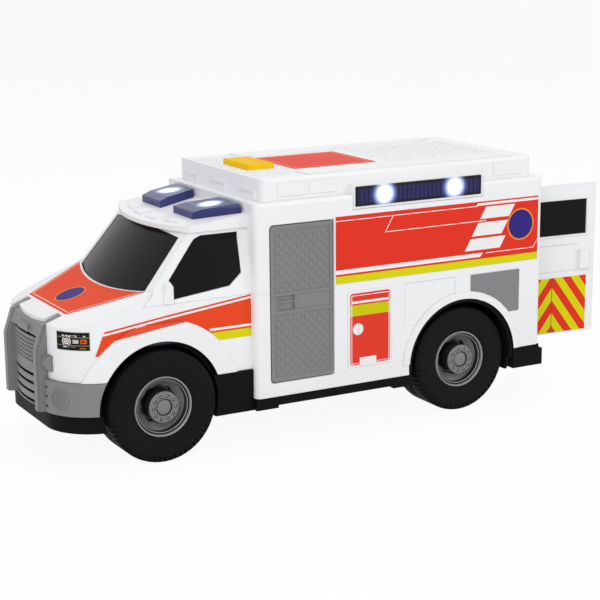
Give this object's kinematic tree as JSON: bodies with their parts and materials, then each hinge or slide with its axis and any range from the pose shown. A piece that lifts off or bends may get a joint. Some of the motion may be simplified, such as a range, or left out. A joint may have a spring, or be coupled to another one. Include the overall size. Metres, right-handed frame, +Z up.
{
  "type": "toy ambulance",
  "caption": "Toy ambulance with a long-nosed cab, a box body with hinged doors, rolling wheels, blue lamps and a sprung button on the roof.",
  "frame": {"origin": "on the ground, at the middle of the length with the rear door open, and on the middle plane", "axes": "+X towards the rear of the vehicle, +Y towards its right side, +Z up"},
  "size_m": [0.3502, 0.1098, 0.1447],
  "materials": {
    "body_white": "satin moulded plastic",
    "trim_grey": "matt moulded plastic",
    "chassis_black": "matt moulded plastic",
    "glazing_black": "polished, heavily tinted",
    "lens_blue": "polished, tinted through",
    "led_clear": "clear cast",
    "print_red": "printed film",
    "print_orange": "printed film",
    "print_dark": "printed film",
    "button_yellow": "satin moulded plastic",
    "board_green": "solder resist",
    "dome_rubber": "matt",
    "speaker_dark": "matt",
    "cell_orange": "wrapped in film",
    "steel": "drawn",
    "wheel_grey": "satin moulded plastic",
    "tyre_black": "matt"
  },
  "bodies": {
    "vehicle": {"chassis": "chassis_black", "lower_body": "body_white", "upper_body": "body_white", "roof_cap": "body_white", "cab_glazing": "glazing_black", "front_guard": "trim_grey", "cab_lamp_left": "lens_blue", "cab_lamp_right": "lens_blue", "lightbar_lens_left": "lens_blue", "lightbar_lens_right": "lens_blue", "hood_label": "print_orange", "cab_label_left": "print_orange", "cab_label_right": "print_orange", "side_label_left": "print_red", "side_label_right": "print_red", "hatch_label_left": "print_red", "hatch_label_right": "print_red", "roof_label": "print_red", "headlamp_labels": "print_dark", "wheel_panel_left": "trim_grey", "wheel_panel_right": "trim_grey", "circuit_board": "board_green", "button_dome": "dome_rubber", "side_leds": "led_clear", "cab_leds": "led_clear", "speaker": "speaker_dark", "batteries": "cell_orange", "battery_contacts": "steel", "battery_cover": "chassis_black", "battery_screw": "steel", "body_screws": "steel", "roof_screws": "steel"},
    "button": {"roof_button": "button_yellow"},
    "tail_door": {"rear_door": "body_white", "rear_door_window": "glazing_black", "rear_door_label": "print_red"},
    "left_door": {"side_door_left": "trim_grey"},
    "right_door": {"side_door_right": "trim_grey"},
    "front_wheels": {"front_axle": "steel", "front_hub_left": "wheel_grey", "front_hub_right": "wheel_grey", "front_tyre_left": "tyre_black", "front_tyre_right": "tyre_black"},
    "rear_wheels": {"rear_axle": "steel", "rear_hub_left": "wheel_grey", "rear_hub_right": "wheel_grey", "rear_tyre_left": "tyre_black", "rear_tyre_right": "tyre_black"}
  },
  "joints": [
    {"name": "front_axle_spin", "type": "hinge", "parent": "vehicle", "child": "front_wheels", "pos_m": [-0.11734, 0, 0.0297], "axis": [0, 1, 0], "continuous": true},
    {"name": "rear_axle_spin", "type": "hinge", "parent": "vehicle", "child": "rear_wheels", "pos_m": [0.06566, 0, 0.0297], "axis": [0, 1, 0], "continuous": true},
    {"name": "button_press", "type": "slide", "parent": "vehicle", "child": "button", "axis": [0, 0, -1], "range_m": [0, 0.0015], "stiffness_N_per_m": 800, "springref_m": -0.0005, "deforming": ["button_dome"]},
    {"name": "rear_door_swing", "type": "hinge", "parent": "vehicle", "child": "tail_door", "pos_m": [0.11821, -0.02765, 0.074], "axis": [0, 0, 1], "range_deg": [0, 94]},
    {"name": "left_door_swing", "type": "hinge", "parent": "vehicle", "child": "left_door", "pos_m": [-0.01939, -0.05245, 0.076], "axis": [0, 0, 1], "range_deg": [0, 90]},
    {"name": "right_door_swing", "type": "hinge", "parent": "vehicle", "child": "right_door", "pos_m": [-0.01939, 0.05245, 0.076], "axis": [0, 0, -1], "range_deg": [0, 90]}
  ]
}
